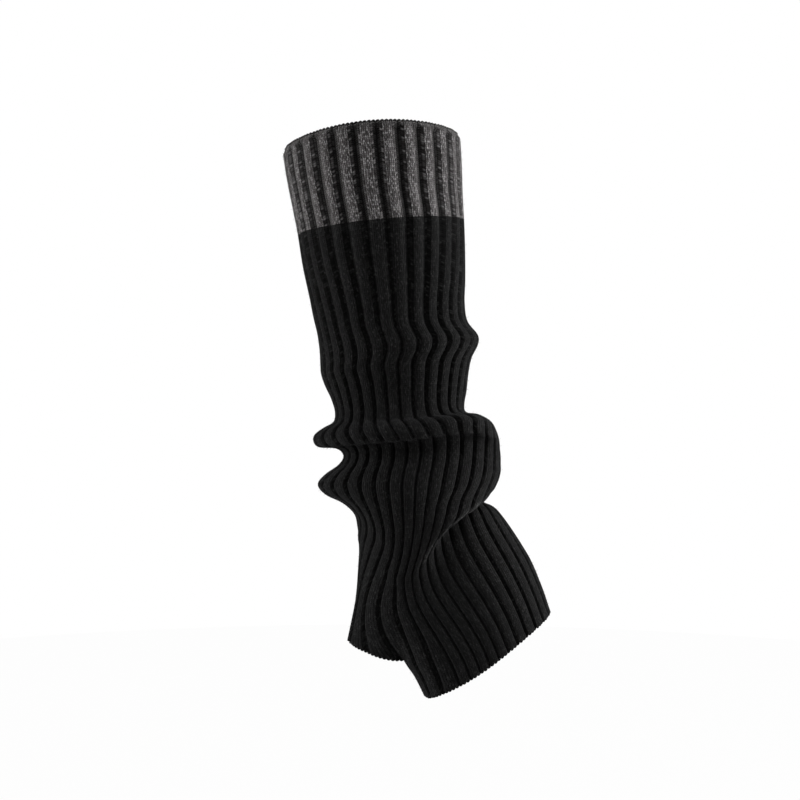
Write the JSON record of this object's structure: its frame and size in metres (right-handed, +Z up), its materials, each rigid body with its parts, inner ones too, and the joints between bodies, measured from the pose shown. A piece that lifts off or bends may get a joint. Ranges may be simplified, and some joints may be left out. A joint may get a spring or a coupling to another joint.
{
  "type": "ribbed-knit stirrup leg warmer",
  "caption": "Worn knitted leg sleeve with raised ribs, a marl cuff band, slouched folds, an open heel slit and a stirrup band round the foot.",
  "frame": {"origin": "middle of the cuff band, on the leg's axis, where the calf holds the sleeve up", "axes": "+Z up the leg, +X towards the shin and toes, -Y towards the side of the leg seen in the picture"},
  "size_m": [0.1739, 0.1094, 0.3648],
  "materials": {
    "marl_yarn": "soft matt rib knit in charcoal marl acrylic yarn, slightly fuzzy",
    "black_yarn": "soft matt rib knit in black acrylic yarn, slightly fuzzy"
  },
  "bodies": {
    "root": {"cuff_band": "marl_yarn", "calf_tube": "black_yarn", "slouch_tube": "black_yarn", "ankle_tube": "black_yarn", "instep_tube": "black_yarn", "foot_band": "black_yarn"}
  },
  "joints": []
}
